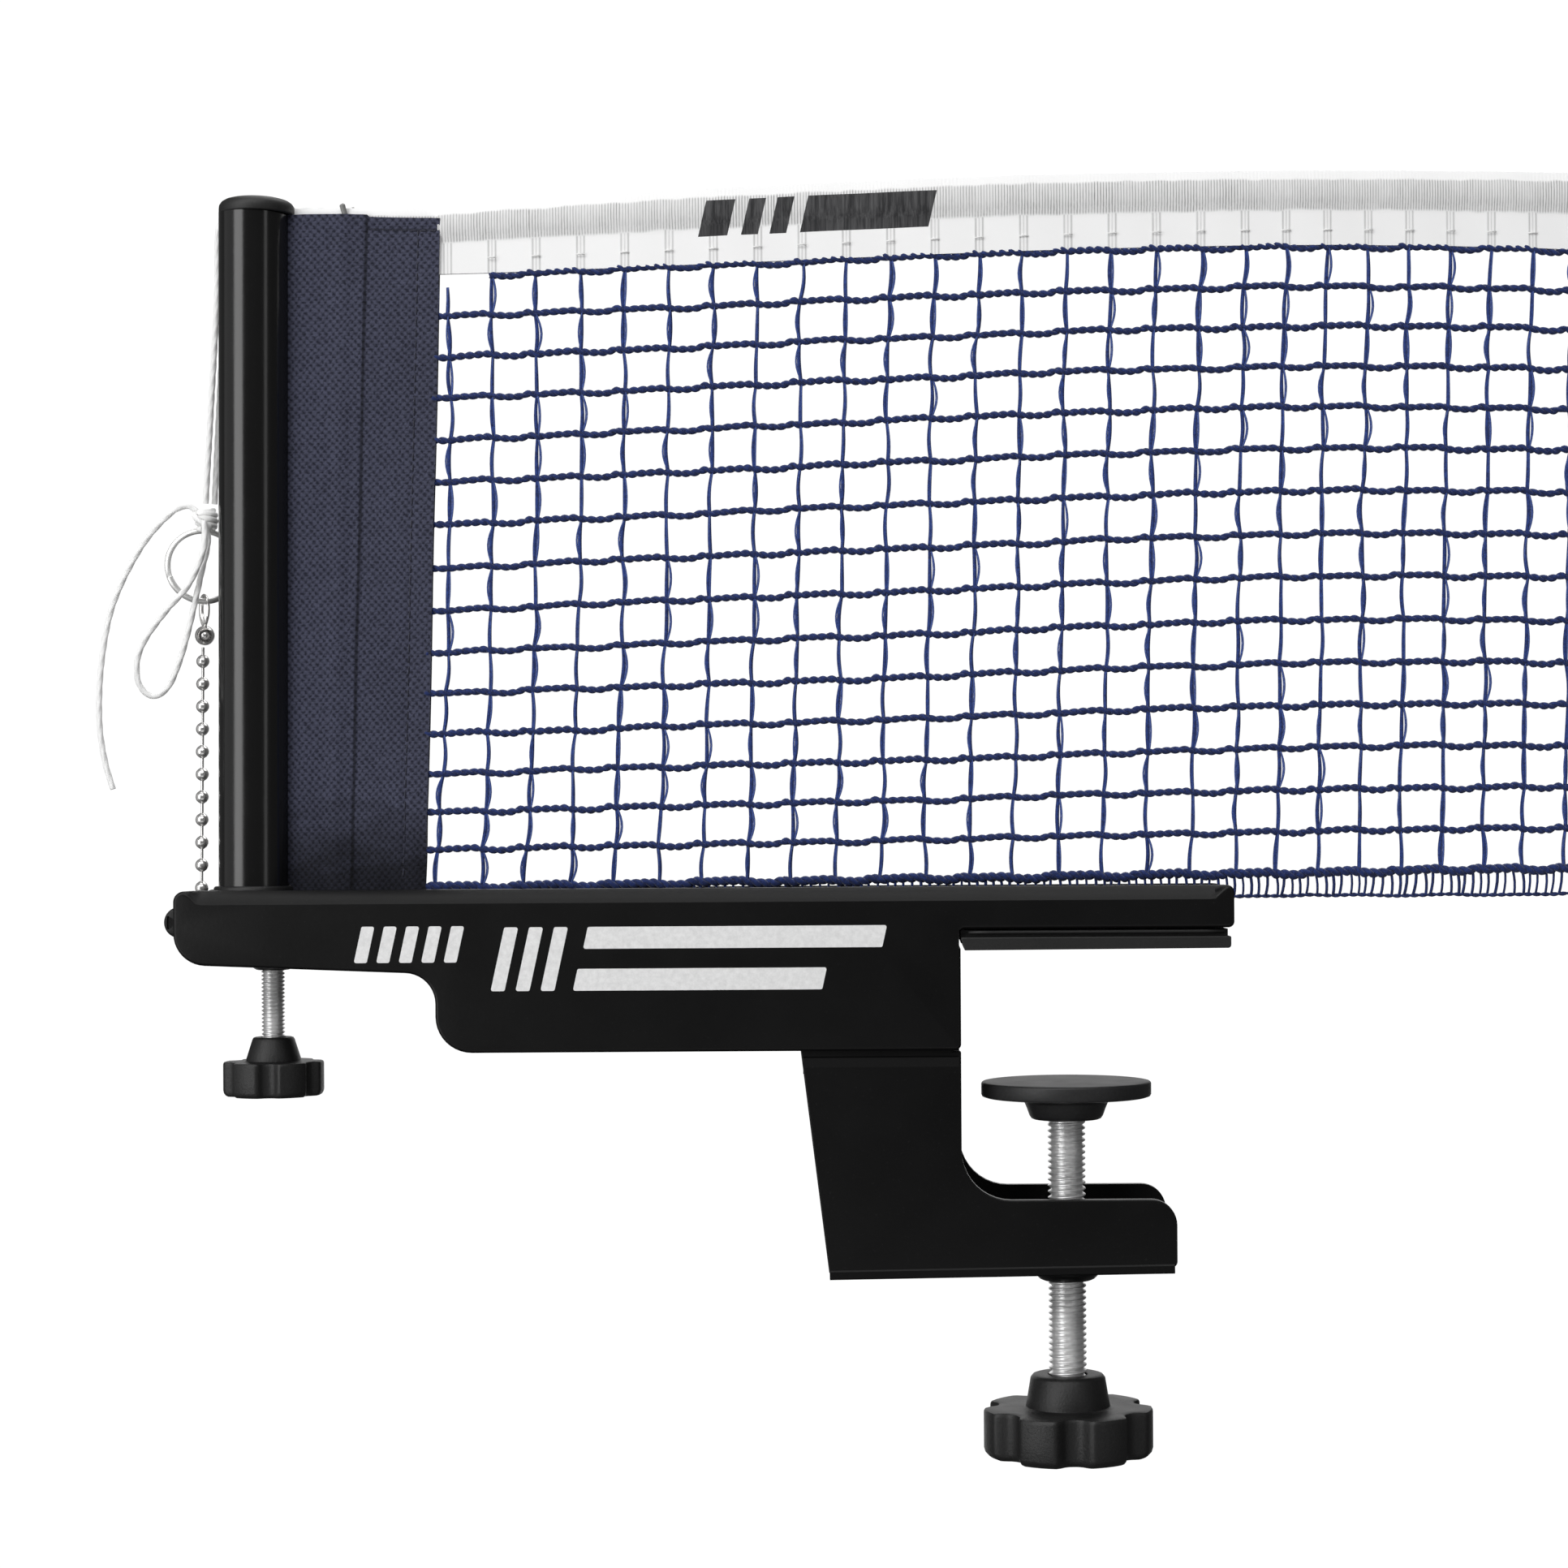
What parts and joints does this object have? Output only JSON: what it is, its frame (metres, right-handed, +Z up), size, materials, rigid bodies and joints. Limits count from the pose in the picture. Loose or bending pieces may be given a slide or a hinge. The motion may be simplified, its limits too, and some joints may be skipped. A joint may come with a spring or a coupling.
{
  "type": "table tennis net clamp",
  "caption": "Screw clamp with an arm, a height-adjustable post, fabric net end, ball chain and tension cord for a table tennis net.",
  "frame": {"origin": "underside of the table pad, over the clamp screw's axis; Z = 0 is the table top", "axes": "+Z up, +X along the net towards the middle of the table, +Y across the arm"},
  "size_m": [0.3177, 0.035, 0.2645],
  "materials": {
    "black_powder_coat": "fine black powder coat, satin",
    "post_black": "smooth black lacquer, semi-gloss",
    "black_plastic": "fine-grained moulding",
    "disc_plastic": "satin moulding",
    "pad_rubber": "smooth black rubber",
    "zinc_steel": "bright zinc plate",
    "nickel_steel": "bright nickel plate",
    "sleeve_fabric": "navy oxford weave",
    "tape_fabric": "white ribbed cotton tape",
    "net_twine": "blue knitted twine",
    "cord_white": "white laid cord",
    "batten_grey": "grey rod"
  },
  "bodies": {
    "bracket": {"arm_shell": "black_powder_coat", "leg_channel": "black_powder_coat", "table_pad": "pad_rubber", "chain_anchor": "black_powder_coat", "clamp_nut": "black_powder_coat", "height_nut": "zinc_steel", "post_bush": "black_plastic", "ball_chain": "nickel_steel", "chain_connector": "nickel_steel", "split_ring": "nickel_steel", "cord_knot": "cord_white", "cord_bight": "cord_white", "cord_tail": "cord_white"},
    "clamp_pad": {"clamp_disc": "disc_plastic", "disc_clip": "zinc_steel"},
    "clamp_spindle": {"clamp_screw": "zinc_steel", "clamp_knob": "black_plastic"},
    "post": {"post_tube": "post_black", "post_cap": "black_plastic", "post_foot": "black_plastic", "edge_rod": "black_plastic", "net_sleeve": "sleeve_fabric", "net_batten": "batten_grey", "net_tape": "tape_fabric", "net_mesh": "net_twine", "cord_strand_outer": "cord_white", "cord_strand_inner": "cord_white"},
    "height_spindle": {"height_screw": "zinc_steel", "height_knob": "black_plastic"}
  },
  "joints": [
    {"name": "clamp_travel", "type": "slide", "parent": "bracket", "child": "clamp_pad", "axis": [0, 0, 1], "range_m": [-0.01625, 0.0175]},
    {"name": "clamp_turn", "type": "hinge", "parent": "clamp_pad", "child": "clamp_spindle", "pos_m": [0, 0, -0.06], "axis": [0, 0, 1], "range_deg": [-4680, 5040]},
    {"name": "post_lift", "type": "slide", "parent": "bracket", "child": "post", "axis": [0, 0, 1], "range_m": [0, 0.0048]},
    {"name": "height_turn", "type": "hinge", "parent": "post", "child": "height_spindle", "pos_m": [-0.1633, 0, -0.01], "axis": [0, 0, 1], "range_deg": [0, 2160]}
  ],
  "couplings": [
    {"joint": "clamp_turn", "follows": "clamp_travel", "rad_per_m": 5026.5},
    {"joint": "height_turn", "follows": "post_lift", "rad_per_m": 7854}
  ]
}
